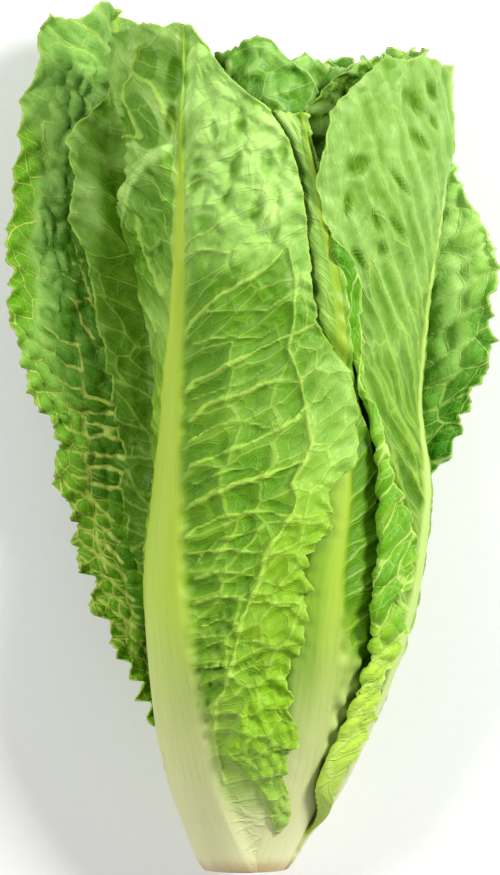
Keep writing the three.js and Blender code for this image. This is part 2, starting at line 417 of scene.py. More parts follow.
def thicken(piece, thick, materials):
    """Quilts a sheet and gives it its thickness, which each vertex has its own
    value of. The outside gets the first material and the inside the second."""
    steps = np.clip(np.round(thick / RIB_LIMIT * THICKNESS_STEPS), 1, THICKNESS_STEPS).astype(int)
    group = piece.vertex_groups.new(name="thickness")
    for step in np.unique(steps):
        group.add(np.nonzero(steps == step)[0].tolist(), step / THICKNESS_STEPS, "REPLACE")

    quilter = piece.modifiers.new("quilting", "NODES")
    quilter.node_group = quilting
    bpy.ops.object.modifier_apply(modifier="quilting")
    shell = piece.modifiers.new("thickness", "SOLIDIFY")
    shell.thickness = RIB_LIMIT * MM
    shell.offset = -1
    shell.vertex_group = "thickness"
    shell.thickness_vertex_group = 0
    shell.use_rim = True
    shell.use_quality_normals = True
    shell.material_offset = 1
    shell.material_offset_rim = 0
    for material in materials:
        piece.data.materials.append(material)
    bpy.ops.object.modifier_apply(modifier="thickness")


def grow_leaf(
    name, rib_path, layer, foot_share, foot, tip, left, right, rib_width, rib_thick, quilt, wave, frill,
    tooth, tone, seed, materials, stand_off=0, shape=None,
    rib_ridge=0.3, ridge=0.5, tooth_length=9.0, top_wave=1.5, top_drop=((-90, 0), (90, 0)), detail=1.0,
    spacing=1.0, climb=1.0, veins=(), vein_show=1, net_from=20, net_show=None,
):
    """Grows one leaf. Heights and distances are in millimetres, measured from
    the cut and from the midrib; left is towards smaller azimuths."""
    heights = np.arange(foot, tip + 12.0, ROW_STEP)
    course = (rib_path, stand_off, (layer, foot_share, foot))
    halves = []
    for side, half in ((-1, left), (1, right)):
        path = walk_round(*course, side, half, heights)
        width = half_width(half, side, path, heights)
        if "roll" in half:
            path = walk_round(*course, side, half, heights, fold=width)
            width = width + follow(half["strip"], heights)
        halves.append((path, width))

    # Rows are set closer together where the outline changes quickly.
    fine = np.arange(foot, tip + 0.01, 0.25)
    widths = [np.interp(fine, heights, width) for _, width in halves]
    change = sum(np.abs(np.gradient(w, fine)) for w in widths)
    measure = np.cumsum(1 + np.minimum(change, 5) * 0.5)
    rows = int((tip - foot) * detail)
    row_heights = np.interp(np.linspace(measure[0], measure[-1], rows + 1), measure, fine)
    columns = [max(5, int(np.percentile(w, 92) * detail)) for w in widths]

    bpy.ops.object.select_all(action="DESELECT")
    bpy.ops.mesh.primitive_grid_add(x_subdivisions=sum(columns), y_subdivisions=rows, size=2)
    piece = bpy.context.object
    piece.name = name + "_blade"
    mesh = piece.data
    count = sum(columns) + 1
    column = np.tile(np.arange(count), rows + 1) - columns[0]
    h = np.repeat(row_heights, count)
    across = np.where(column < 0, column / columns[0], column / columns[1])
    spread = np.where(across < 0, *(np.interp(h, heights, width) for _, width in halves))
    edge = np.minimum(spread * (1 - np.abs(across)), tip - h)

    def each_half(on_left, label, plain):
        """Reads a list that either half may have its own version of."""
        return np.where(on_left, *(follow(half.get(label, plain), h) for half in (left, right)))

    # Teeth along the margin and the tip, where the outline also drops.
    which = seed + 8 + 4 * np.sign(across)
    large = (h / tooth_length + 0.8 * drift(h / (2.2 * tooth_length), which)) % 1
    small = (h / 2.9 + drift(h / 6, which + 3)) % 1
    teeth = (0.5 - large) * (1.1 + 0.8 * drift(h / 14, which + 2)) + 0.4 * (0.5 - small)
    teeth = (teeth + 0.5 * drift(h / 8, which + 4)) * smooth(h, foot + 20, foot + 50)
    depth = each_half(across < 0, "tooth", tooth)
    s = across * spread + np.sign(across) * depth * teeth * np.abs(across) ** 6
    top_teeth = 1 - 2 * np.abs(drift(s / 2.4, seed + 31))
    lifted = top_wave * drift(s / 9, seed + 14) + depth * top_teeth
    h = h + lifted * smooth(h, tip - 14, tip)
    h = h - read_line(top_drop, s) * smooth(h, tip - 45, tip)

    places = [at_place(path, heights, side * s, h) for side, (path, _) in zip((-1, 1), halves)]
    points = np.where((s < 0)[:, None], *places)
    if "pressed" in left:
        # Low down this half is pushed back in, so it reaches no further than it shows.
        limit = follow(left["reach"], h) + MIDDLE_SHIFT
        inside = limit + np.logaddexp(0, points[:, 0] - limit)
        inside = mix(inside, points[:, 0], smooth(h, *left["pressed"]))
        points[:, 0] = np.where(s < 0, inside, points[:, 0])
    points[:, 1] += cut_y / MM
    write_points(mesh, points * MM)
    normals = read_vectors(mesh.vertex_normals, "vector")

    # How much each point belongs to the rib.
    rib_reach = each_half(s < 0, "rib_width", rib_width)
    rib = 1 - smooth(np.abs(s) / np.maximum(rib_reach, 0.4), 0.55, 1.0)
    blade = (1 - rib) * smooth(h, foot + 15, foot + 60)

    # Side veins leave the rib at a shallow angle and bend upward.
    out = np.abs(s)
    rise = climb * (0.38 * out + 0.0022 * out * out) * (0.5 + 0.5 * smooth(h, 90, 190))
    rise = rise + 5 * (1 - np.exp(-out / 5))
    run = np.maximum(h - rise + 2.2 * drift(s / 24, h / 30 + seed) + 25, 0)
    vein = np.log(1 + 0.03 * run / 6) / 0.03 / spacing + 0.37 * seed + np.where(s < 0, 0.5, 0)
    reached = 0.25 * np.minimum(out, net_from) + 0.6 * np.clip(out - net_from, 0, 30)
    reached = reached + np.maximum(out - net_from - 30, 0)
    along = np.sign(s) * reached / ((6 + 0.03 * h) * spacing) + 0.25 * drift(s / 14 + 7, h / 14)
    vein = vein + 0.12 * drift(s / 9, h / 9 + 3) + 0.03 * drift(s / 2.3, h / 2.3 + 5)
    along = along + 0.03 * drift(s / 2.3 + 30, h / 2.3)
    beside = np.abs((vein + 0.5) % 1 - 0.5)
    vein_end = out + 14 * drift(vein.round() * 3.7, seed)
    vein_share = 1 - smooth(vein_end, VEIN_LENGTH * 0.6, VEIN_LENGTH * 1.5)
    vein_share = vein_share * follow(vein_show, h) * (0.75 + 0.25 * drift(vein.round() * 5.3, seed + 2))
    vein_slim = mix(0.13, 0.05, smooth(out, 4, 50))
    side_ridge = np.exp(-((beside / vein_slim) ** 2)) * vein_share * blade

    # Outward push: rib, side veins, swell between them, waves and frill.
    fade = 1 - np.clip(edge / RUFFLE_WIDTH, 0, 1)
    hang = fade * fade * smooth(h, foot + 25, foot + 80)
    margin_run = h + 0.6 * s
    frill_depth = each_half(s < 0, "frill", frill)
    uneven = 0.8 * drift(margin_run / 16, seed + 60)
    ruffle = np.sin(2 * math.pi * (margin_run / RUFFLE_LENGTH + uneven))
    push_out = (
        rib_ridge * rib * (1 - smooth(h, 90, 230) * 0.5)
        + ridge * side_ridge
        + 0.3 * ridge * np.cos(2 * math.pi * vein) * vein_share * blade
        + wave * (drift(s / 17, h / 22 + seed) + 0.5 * drift(s / 8, h / 10 + seed)) * blade
        + frill_depth * ruffle * hang
    )
    drawn = on_veins(points[:, 0] - MIDDLE_SHIFT, h, veins) * (1 - rib)
    push_out = push_out + 0.8 * drawn
    if shape is not None:
        push_out = push_out + shape(s, h, edge, points[:, 0] - MIDDLE_SHIFT)
    points = points + normals * push_out[:, None]
    points[:, 2] = np.maximum(points[:, 2], 2 * TABLE_GAP)
    write_points(mesh, points * MM)

    keep(mesh, "net", np.stack([vein, along, 0 * vein], 1))
    keep(mesh, "place", np.stack([out / 100, h / HEAD_LENGTH, edge / 10], 1))
    keep(mesh, "rib", rib)
    shown_x = points[:, 0] - MIDDLE_SHIFT
    crisp = 1 + 0 * drawn if net_show is None else net_show(s, h, edge, shown_x)
    side_veins = vein_share * blade * np.minimum(1, crisp + 0.2)
    keep(mesh, "side_vein", np.stack([side_veins, drawn, crisp], 1))
    # The tone: above 0 deeper, below 0 fresher; on many leaves it paints shade and highlights.
    keep(mesh, "tone", tone(s, h, edge, shown_x))
    soft_edge = smooth(edge, 0.3, 3)
    keep(mesh, "quilt", follow(quilt, h) * MM * blade * soft_edge)

    # Thickness: the rib is several millimetres, the blade half of one.
    thick = mix(BLADE_THICKNESS, follow(rib_thick, h), rib)
    if foot == 0:
        depth_to_stem = np.hypot(points[:, 0] - middle_x(h), points[:, 2] - middle_z(h)) - 8.5
        thick = np.maximum(thick, depth_to_stem * (1 - smooth(h, 1, 11)))
    thicken(piece, thick, materials)
    solid = read_vectors(mesh.vertices, "co")
    solid[:, 1] = np.maximum(solid[:, 1], cut_y)
    solid[:, 2] = np.maximum(solid[:, 2], TABLE_GAP * MM)
    write_points(mesh, solid)
    bpy.ops.object.shade_smooth()
    piece.vertex_groups.clear()
    finish_piece(piece, name)


# Leaf skin, used by every leaf with its own colours: pale veins in a fine net,
# cells with painted shade towards their pressed-in middles, a smooth rib and a
# cream-coloured foot.
skin = bpy.data.node_groups.new("leaf_skin", "ShaderNodeTree")
SKIN_COLOURS = ("Blade", "Deep", "Low Blade", "Low Deep", "Vein", "Rib", "Foot", "Fresh")
for way, kind, labels in (
    ("INPUT", "NodeSocketColor", SKIN_COLOURS),
    ("INPUT", "NodeSocketFloat", ("Net Strength", "Vein Strength")),
    ("OUTPUT", "NodeSocketColor", ("Color",)),
    ("OUTPUT", "NodeSocketFloat", ("Roughness", "Height")),
):
    for label in labels:
        skin.interface.new_socket(label, in_out=way, socket_type=kind)
given = add_node(skin, "NodeGroupInput").outputs


def maths(operation, first, second=0.0):
    return add_node(skin, "ShaderNodeMath", {0: first, 1: second}, operation=operation).outputs[0]


def plus(first, second):
    return maths("ADD", first, second)


def times(first, second):
    return maths("MULTIPLY", first, second)


def ramp(value, low, high, start=0.0, end=1.0):
    levels = {"Value": value, "From Min": low, "From Max": high, "To Min": start, "To Max": end}
    node = add_node(skin, "ShaderNodeMapRange", levels, interpolation_type="SMOOTHSTEP")
    return node.outputs["Result"]


def blend(share, first, second):
    """The first colour, turned to the second one by a share."""
    colours = {0: share, 6: first, 7: second}
    return add_node(skin, "ShaderNodeMix", colours, data_type="RGBA").outputs[2]


def carried(label, output="Fac"):
    """A value that the leaf's sheet carries."""
    return add_node(skin, "ShaderNodeAttribute", attribute_name=label).outputs[output]


def noise(place, **values):
    inputs = {label.title(): value for label, value in values.items()}
    return add_node(skin, "ShaderNodeTexNoise", {"Vector": place, **inputs}).outputs["Fac"]


def parts_of(vector):
    return add_node(skin, "ShaderNodeSeparateXYZ", {0: vector}).outputs


net_place = carried("net", "Vector")
rib_share, tone_share = carried("rib"), carried("tone")
out_share, height_share, edge_share = parts_of(carried("place", "Vector"))
side_share, drawn_share, crisp_share = parts_of(carried("side_vein", "Vector"))
object_place = add_node(skin, "ShaderNodeTexCoord").outputs["Object"]
mottle = noise(object_place, scale=55.0, detail=4.0, roughness=0.6)
grain = noise(object_place, scale=1400.0, detail=2.0)
large_edge, middle_edge, small_edge = (
    add_node(
        skin,
        "ShaderNodeTexVoronoi",
        {"Vector": net_place, "Scale": scale, "Randomness": random},
        voronoi_dimensions="2D",
        feature="DISTANCE_TO_EDGE",
    ).outputs["Distance"]
    for scale, random in ((1.1, 0.8), (2.7, 0.8), (8.0, 1.0))
)

# The lines of the net, the side veins and the listed veins.
line_width = ramp(height_share, 0.3, 0.75, 1.7, 0.7)
net_line = ramp(maths("DIVIDE", large_edge, line_width), 0.015, 0.055, 1.0, 0.0)
fine_line = ramp(middle_edge, 0.015, 0.08, 1.0, 0.0)
small_line = ramp(small_edge, 0.02, 0.14, 1.0, 0.0)
wrapped = maths("FRACT", plus(parts_of(net_place)["X"], 0.5))
beside_vein = maths("ABSOLUTE", maths("SUBTRACT", wrapped, 0.5))
taper = ramp(out_share, 0.04, 0.5, 1.0, 0.4)
vein_line = ramp(maths("DIVIDE", beside_vein, taper), 0.04, 0.14, 1.0, 0.0)
vein_line = maths("MAXIMUM", times(vein_line, side_share), ramp(drawn_share, 0.25, 0.85))
# Painted shade in the valleys between the side veins.
valley = times(ramp(beside_vein, 0.08, 0.36), side_share)

on_blade = maths("SUBTRACT", 1.0, rib_share)
net_strength = times(times(on_blade, given["Net Strength"]), crisp_share)
net_amount = maths("MAXIMUM", times(net_line, net_strength), times(times(fine_line, net_strength), 0.4))
small_amount = times(times(small_line, 0.1), on_blade)
vein_amount = maths("MAXIMUM", times(vein_line, given["Vein Strength"]), small_amount)
pale_line = maths("MAXIMUM", net_amount, vein_amount)

# The colour: paler high up; deeper towards the middles of the cells and in the
# valleys between the side veins, a painted shade of those hollows; and deeper or
# fresher where the tone says so, which carries painted shade and highlights.
cell_middle = ramp(large_edge, 0.03, 0.36)
depth_share = plus(times(cell_middle, 0.3), times(ramp(mottle, 0.35, 0.68), 0.45))
depth_share = plus(plus(depth_share, tone_share), times(valley, 0.5))
depth_share = add_node(skin, "ShaderNodeClamp", {"Value": depth_share}).outputs[0]
top_share = ramp(plus(height_share, times(out_share, 0.25)), 0.5, 0.85)
light_green = blend(top_share, given["Low Blade"], given["Blade"])
deep_green = blend(top_share, given["Low Deep"], given["Deep"])
deep_green = blend(ramp(tone_share, 0.5, 1.1), deep_green, given["Low Deep"])
fresh_share = ramp(times(tone_share, -1.0), 0.2, 1.0)
light_green = blend(fresh_share, light_green, given["Fresh"])
colour = blend(depth_share, light_green, deep_green)
colour = blend(pale_line, colour, given["Vein"])
colour = blend(ramp(edge_share, 0.02, 0.09, 0.45, 0.0), colour, given["Vein"])

# The rib: streaked lengthwise, cream at the foot and browned at the cut, and
# deeper where the tone says so, partly a painted shade.
streak_place = add_node(
    skin, "ShaderNodeCombineXYZ", {0: times(out_share, 70.0), 1: times(height_share, 12.0)}
).outputs[0]
streaks = noise(streak_place, scale=1.0, detail=4.0, roughness=0.65)
rib_colour = blend(ramp(height_share, 0.0, 0.36), given["Foot"], given["Rib"])
rib_dark = plus(ramp(streaks, 0.4, 0.8, 0.0, 0.16), ramp(tone_share, 0.0, 1.0))
rib_colour = blend(rib_dark, rib_colour, given["Low Deep"])
foot_fade = maths("SUBTRACT", 1.0, times(fresh_share, 0.75))
foot_fade = times(ramp(height_share, 0.02, 0.24, 0.85, 0.0), foot_fade)
colour = blend(foot_fade, colour, rib_colour)
colour = blend(rib_share, colour, rib_colour)
cut_place = maths("SUBTRACT", height_share, times(mottle, 0.02))
colour = blend(ramp(cut_place, -0.008, 0.012, 0.65, 0.0), colour, paint(196, 150, 104))

height_sum = times(plus(times(net_line, 0.5), times(fine_line, 0.3)), on_blade)
height_sum = plus(plus(height_sum, times(vein_line, 0.9)), times(grain, 0.12))
height_sum = plus(height_sum, times(times(streaks, 0.25), rib_share))
height_sum = plus(height_sum, times(times(small_line, 0.12), on_blade))
shine = plus(0.3, times(mottle, 0.24))
add_node(skin, "NodeGroupOutput", {"Color": colour, "Roughness": shine, "Height": height_sum})


def leaf_face(name, colours, net, vein, relief, gloss=0.25):
    """One face's finish: the leaf skin in that face's colours."""
    material, tree, shader = new_material(name)
    values = {label: paint(*colour) for label, colour in zip(SKIN_COLOURS, colours)}
    values.update({"Net Strength": net, "Vein Strength": vein})
    face = add_node(tree, "ShaderNodeGroup", values, node_tree=skin).outputs
    shader.inputs["Specular IOR Level"].default_value = gloss
    cover(tree, shader, face["Color"], face["Roughness"], face["Height"], relief, 0.4)
    return material


heart_outside = leaf_face(
    "heart_outside",
    (
        (150, 200, 96), (98, 152, 48), (190, 214, 110), (84, 142, 32), (196, 220, 124), (206, 220, 130),
        (226, 214, 178), (190, 220, 100),
    ),
    0.3, 0.5, 0.5,
)
heart_inside = leaf_face(
    "heart_inside",
    (
        (120, 178, 66), (74, 136, 32), (180, 210, 100), (68, 130, 20), (200, 222, 126), (206, 220, 130),
        (226, 214, 178), (190, 220, 100),
    ),
    0.5, 0.6, 0.5,
)


def puckers(s, h, edge, x):
    """Puffs with sharp creases between them, near the top of a leaf."""
    return 1.8 * (pillows(s / 6.5, h / 8) - 0.6) * smooth(h, 175, 215) * smooth(edge, 0, 5)


# Painted shade in the creases between the puffs, darker overall, with uneven patches.
def puckered_tone(s, h, edge, x):
    return 1.35 - 1.3 * pillows(s / 6.5, h / 8) + 0.6 * smooth(drift(s / 10 + 5, h / 10), 0.3, 0.7)


# Where the tip drops between its lobes, both as shares of the leaf's width.
LOBES = (
    (-1, 0.5), (-0.6, 0.16), (-0.35, 0.02), (-0.18, 0.08), (0, 0.14), (0.22, 0.12), (0.42, 0),
    (0.56, 0.03), (0.64, 0.14), (0.8, 0.3), (1, 0.6),
)
GOLDEN_TURN = 137.5
number = 0
for group_name, slot, foot, share, tip, shorter, wide, detail in (
    ("inner_leaf", "inner_leaf", 28, 0.36, 275, 1.5, 44, 0.65),
    ("heart_leaf", "heart_leaf", 40, 0.22, 255, 12, 33, 0.6),
    ("core_leaf", "heart_leaf", 52, 0.12, 190, 13, 18, 0.5),
):
    for which in range(5):
        top = tip - shorter * which
        broad = wide * (1 - 0.06 * which)
        outline = (
            (foot, 3.5), (foot + 25, 7), (foot + 0.5 * (top - foot), broad),
            (top - 0.5 * broad, 0.9 * broad), (top - 0.15 * broad, 0.82 * broad), (top, 0.7 * broad),
        )
        half = {"width": outline}
        turn = 0.12 * broad * (which - 2)
        azimuth = GOLDEN_TURN * number - 20
        lobes = tuple((turn + broad * at, broad * drop) for at, drop in LOBES)
        grow_leaf(
            f"{group_name}_{which + 1}",
            rib_path=azimuth,
            layer=6.4 + number, foot_share=share, foot=foot, tip=top,
            left=half, right=half,
            rib_width=((foot, 6), (foot + 80, 3.5), (top - 30, 1.0)),
            rib_thick=((foot, 3), (foot + 80, 2.2), (top - 30, 0.7)),
            quilt=((0, 0.4), (150, 0.5), (220, 2.0), (290, 2.2)),
            wave=1.4, frill=1.6, shape=puckers, tone=puckered_tone, top_drop=lobes,
            tooth=((0, 1.0), (290, 0.8)),
            spacing=0.7, net_from=4,
            vein_show=((0, 1), (150, 0.7), (220, 0.25), (290, 0.2)),
            detail=detail, seed=number,
            materials=(heart_outside, heart_inside),
        )
        number += 1

# ---- Wrapper leaves hidden at the back and right ---------------------------
# Broad leaves that close the head behind, held by their ribs at the stem's
# foot. Only their tips, and a strip in the gap at the right, show from above.

leaf_outside = leaf_face(
    "leaf_outside",
    (
        (160, 203, 108), (104, 152, 46), (126, 172, 34), (78, 124, 14), (174, 210, 84), (188, 218, 106),
        (230, 228, 172), (146, 192, 32),
    ),
    0.35, 0.7, 0.7,
)
leaf_inside = leaf_face(
    "leaf_inside",
    (
        (96, 164, 26), (56, 120, 8), (92, 158, 10), (50, 112, 4), (186, 216, 92), (168, 214, 56),
        (204, 214, 130), (160, 206, 36),
    ),
    0.75, 0.75, 0.7,
)


BACK_HALF = (
    (14, 7), (40, 24), (60, 36), (80, 42), (150, 52), (208, 48), (240, 38), (260, 22), (268, 8),
)
for name, rib_path, layer, left, right in (
    ("back_leaf", 178, 4.4, BACK_HALF, BACK_HALF),
    (
        "inner_right_leaf", ((0, 58), (290, 50)), 5.4,
        ((14, 5), (60, 20), (150, 48), (213, 44), (243, 34), (260, 20), (268, 8)),
        ((14, 5), (60, 20), (150, 50), (213, 44), (243, 34), (260, 20), (268, 8)),
    ),
):
    grow_leaf(
        name,
        rib_path=rib_path,
        layer=layer, foot_share=0.55, foot=14, tip=268,
        left={"width": left}, right={"width": right},
        rib_width=((14, 7), (100, 5), (220, 1.5)),
        rib_thick=((14, 5), (100, 3), (220, 0.8)),
        quilt=((0, 0.5), (150, 0.8), (220, 1.8), (290, 2.0)),
        wave=1.2, frill=2.0, shape=puckers, tone=puckered_tone, top_wave=2,
        tooth=((0, 1.2), (290, 0.9)),
        spacing=0.65, net_from=6,
        vein_show=((0, 1), (180, 0.8), (230, 0.3), (290, 0.3)),
        detail=0.7,
        seed=len(name),
        materials=(leaf_outside, leaf_inside),
    )

# ---- Right back leaf -------------------------------------------------------
# A wrapper leaf whose left half stands off to the right with its inner face
# up: saturated green, with a crisp net of pale veins and a frilled margin, and
# pale high up with a painted sheen.

# Its pale Blade and Deep colours, used high up, paint a sheen on the upper inner face.
back_right_inside = leaf_face(
    "back_right_inside",
    (
        (192, 234, 136), (152, 202, 86), (92, 164, 14), (52, 126, 4), (194, 224, 112), (172, 214, 74),
        (208, 216, 136), (150, 200, 50),
    ),
    0.6, 0.7, 0.7, gloss=0.15,
)


def back_right_tone(s, h, edge, x):
    """Deeper along the margin half way up, and a painted sheen that brightens it near the tip."""
    margin = (1 - smooth(edge, 6, 10)) * band(h, 118, 136, 198, 214)
    return 0.85 * margin - 0.19 * smooth(h, 180, 205)


grow_leaf(
    "back_right_leaf",
    rib_path=((0, 140), (100, 140), (276, 123)),
    layer=1, foot_share=1, foot=0, tip=276,
    left={
        "reach": (
            (0, 14), (60, 44), (120, 58), (134, 62), (137.5, 65), (141, 70), (149, 71), (157, 73),
            (166, 78), (174, 81), (182, 81), (191, 81.5), (199, 84), (207, 82.5), (216, 79), (224, 74),
            (232, 71), (239, 67), (250, 66), (262, 65), (270, 63), (276, 58),
        ),
        "reach_side": 1,
        "flare": (72, 10, 32, 25),
    },
    right={"width": ((0, 10), (20, 15), (40, 20), (60, 26), (180, 42), (220, 38), (262, 20), (276, 8))},
    rib_width=((0, 10), (60, 9), (120, 6), (240, 1.5)),
    rib_thick=((0, 6), (100, 3.5), (220, 1)),
    quilt=((0, 1), (120, 1.8), (290, 2.2)),
    wave=1.4, frill=2.4,
    tooth=((0, 2.8), (170, 2.4), (210, 1.6), (290, 1.0)),
    spacing=0.8, net_from=0, detail=0.92, tone=back_right_tone, seed=4,
    materials=(leaf_outside, back_right_inside),
)

# ---- Left outer leaf -------------------------------------------------------
# The outermost leaf, which the head lies on. Its right half stands off to the
# left, with the savoyed inner face up and a ladder of pale veins.

# The pale Blade colour, used high up, partly paints the light on the tops of the puffs.
left_inside = leaf_face(
    "left_inside",
    (
        (150, 200, 96), (74, 128, 34), (108, 166, 20), (64, 120, 6), (200, 218, 100), (168, 210, 66),
        (208, 216, 136), (92, 156, 8),
    ),
    0.85, 0.85, 0.8, gloss=0.15,
)

LEFT_LINE = (
    (-34, 62), (-40, 78), (-45, 91), (-49.5, 104), (-52, 116), (-54.5, 128), (-54.5, 145), (-55.5, 162),
    (-57, 176),
)
LADDER = ((158, 0.9), (153.5, -0.4), (149, 0.6), (145.5, -0.7), (139.5, 0.3), (134.8, -0.5), (129, 0.8))


def line_at(h):
    """Where the line that the ladder's veins start from is, at a height."""
    line_x, line_h = zip(*LEFT_LINE)
    return np.interp(h, line_h, line_x)


LEFT_VEINS = (
    ((0.6, 0.4, LEFT_LINE),)
    + tuple(
        (1.5, 0.9, ((-41, h - 2 + bend), (-48, h - 0.6 - bend), (-54.5, h + bend)))
        for h, bend in LADDER
    )
    + (
        (0.6, 0.2, ((-51, 186), (-54.5, 196), (-58, 208), (-60.5, 214))),
        (0.4, 0.3, ((-53, 192), (-58, 190), (-61, 192))),
        (0.4, 0.3, ((-55, 198), (-59, 197), (-63, 200))),
        (0.4, 0.3, ((-54.5, 205), (-59, 203), (-62, 207))),
        (0.7, 0.3, ((-52, 178), (-56, 183), (-59, 192))),
    )
    + tuple(
        (1.1, 0.5, ((at + 8, h - 7), (at, h), (at - 5, h + 3), (at - 11, h + 9)))
        for h in (124, 117, 110, 104, 97, 91, 85, 79, 73)
        for at in (line_at(h),)
    )
    + tuple(
        (0.7, 0.3, ((at, h), (at - 6, h + 1.5), (at - 12, h + 7)))
        for h in (176, 168, 161, 153, 146, 139, 131)
        for at in (line_at(h),)
    )
)


def left_tone(s, h, edge, x):
    """Bluish and deeper high up, with painted shade in the creases between the
    puffs, in a band beside the middle leaf's margin and between the ladder's veins,
    and a bright margin.
    """
    # Painted shade in the creases between the puffs and in a band beside the middle leaf's margin.
    creases = 0.95 - 1.25 * left_puffs(h, x) * (1 - 0.85 * smooth(h, 232, 248))
    creases = creases - smooth(h, 226, 246) + 0.8 * smooth(x, -65, -59) * (1 - smooth(h, 236, 248))
    # Painted shade between the ladder's veins.
    ladder = 0.8 * smooth(x, -56, -53) * band(h, 122, 128, 160, 168)
    ladder = ladder * (1 - on_veins(x, h, LEFT_VEINS))
    margin = (1 - smooth(edge, 7, 14)) * (1 - left_blisters(s, h, x)) * (1 - smooth(h, 244, 258))
    return creases * left_blisters(s, h, x) + ladder - 0.9 * margin + 0.3 * (1 - smooth(h, 170, 190))


def left_blisters(s, h, x):
    """1 in the blistered part next to the middle leaf, high up."""
    border = x + 3.2 * drift(x / 9 + 5, h / 8) - 5 * smooth(h, 218, 240)
    return smooth(border, -76, -67) * band(h, 165, 190, 262, 280) * (s > 0)


def left_puffs(h, x):
    """Round puffs with sharp creases between them, 0 in a crease."""
    large = pillows(x / 7 + 0.2 * drift(x / 5, h / 5), h / 9 + 3)
    return 0.8 * large + 0.25 * pillows(x / 3, h / 3.4 + 9)


def left_shape(s, h, edge, x):
    """The puffs stand up on the inner face, which is the one that shows."""
    return -2.6 * (left_puffs(h, x) - 0.6) * left_blisters(s, h, x)


def left_net(s, h, edge, x):
    """The fine net shows near the margin and is faint between the big veins."""
    crown = 1 - 0.65 * smooth(h, 246, 264)
    return mix(0.12, 1, 1 - smooth(edge, 9, 16)) * (1 - 0.6 * left_blisters(s, h, x)) * crown


grow_leaf(
    "left_outer_leaf",
    rib_path=((0, -135), (100, -135), (290, -112)),
    layer=0, foot_share=1, foot=0, tip=288,
    left={"width": ((0, 11), (20, 20), (40, 28), (60, 33), (190, 52), (250, 42), (275, 26), (288, 10))},
    right={
        "reach": (
            (0, -16), (25, -26), (49, -32.5), (57, -34.5), (66, -40), (74, -44.5), (82, -48), (91, -53),
            (99, -56), (107, -60.5), (116, -59.5), (124, -62), (132, -65), (149, -65.5), (154, -68),
            (157, -76), (166, -75), (174, -76.5), (182, -80), (191, -81), (199, -79), (207, -82.5),
            (216, -81), (224, -79), (241, -76.5), (257, -76), (266, -73), (274, -69.5), (282, -71),
            (288, -66),
        ),
        "reach_side": -1,
        "flare": (76, 8, 30, 25),
    },
    rib_width=((0, 10), (60, 9), (120, 6), (240, 1.2), (275, 0.2)),
    rib_thick=((0, 6), (100, 3.5), (220, 1)),
    quilt=((0, 1), (100, 1.6), (160, 2.0), (200, 1.2), (290, 1.2)),
    wave=1.6, frill=2.4,
    tooth=((0, 3.4), (165, 3.4), (200, 1.8), (250, 1.2), (275, 0.5)),
    tooth_length=11.0, spacing=0.62, veins=LEFT_VEINS,
    top_drop=((-50, 12), (-10, 2), (0, -3), (9, -3), (15, -1), (22, 3), (28, 4.5), (35, 3), (50, 4)),
    net_from=0, tone=left_tone, shape=left_shape, net_show=left_net, seed=9,
    materials=(leaf_outside, left_inside),
)

# ---- Left middle leaf ------------------------------------------------------
# Lies between the outer leaf and the front leaf, and leans out to the left
# with its matt outer face up.


def middle_tone(s, h, edge, x):
    """Dark where the front leaf shades it, and brighter near the tip."""
    shaded = (0.45 + 0.6 * smooth(x, -52, -42) + 0.4 * drift(s / 9, h / 25)) * smooth(h, 55, 110)
    return mix(shaded, 0.4, smooth(h, 226, 238))


grow_leaf(
    "left_middle_leaf",
    rib_path=((0, -79), (100, -79), (258, -58)),
    layer=3.4, foot_share=0.93, foot=4, tip=262,
    left={
        "foot_width": ((0, 9), (40, 22), (52, 27), (70, 24)),
        "foot_blend": (50, 70),
        "reach": (
            (14, -14), (60, -30), (91, -38), (104, -41.5), (117, -42), (131, -43.5), (137, -40.5),
            (151, -45.5), (166, -46), (177, -49.5), (191, -52), (204, -54), (218, -60), (231, -57),
            (240, -60.5), (246, -59.5), (255, -51), (262, -44),
        ),
        "flare": (102, 10, 26, 50),
    },
    right={"width": ((4, 8), (60, 18), (190, 40), (230, 34), (250, 22), (262, 8))},
    rib_width=((4, 9), (60, 8), (100, 4), (220, 1.5)),
    rib_thick=((4, 3), (100, 3), (220, 0.8)),
    quilt=((0, 0.6), (150, 1), (290, 1.4)),
    wave=1.6, frill=1.4,
    tooth=((0, 1.6), (160, 1.4), (220, 0.8), (290, 0.6)),
    vein_show=((0, 0.5), (290, 0.3)),
    shape=lambda s, h, edge, x: 1.2 * drift(s / 6, h / 16 + 4) - 0.6 * np.abs(drift(s / 3.5, h / 6)),
    tone=middle_tone, seed=13,
    materials=(leaf_outside, leaf_inside),
)

# ---- Right leaf ------------------------------------------------------------
# Its midrib is the head's right side, and its left half covers the front
# right. Low down the left margin is rolled back and shows its inner face.

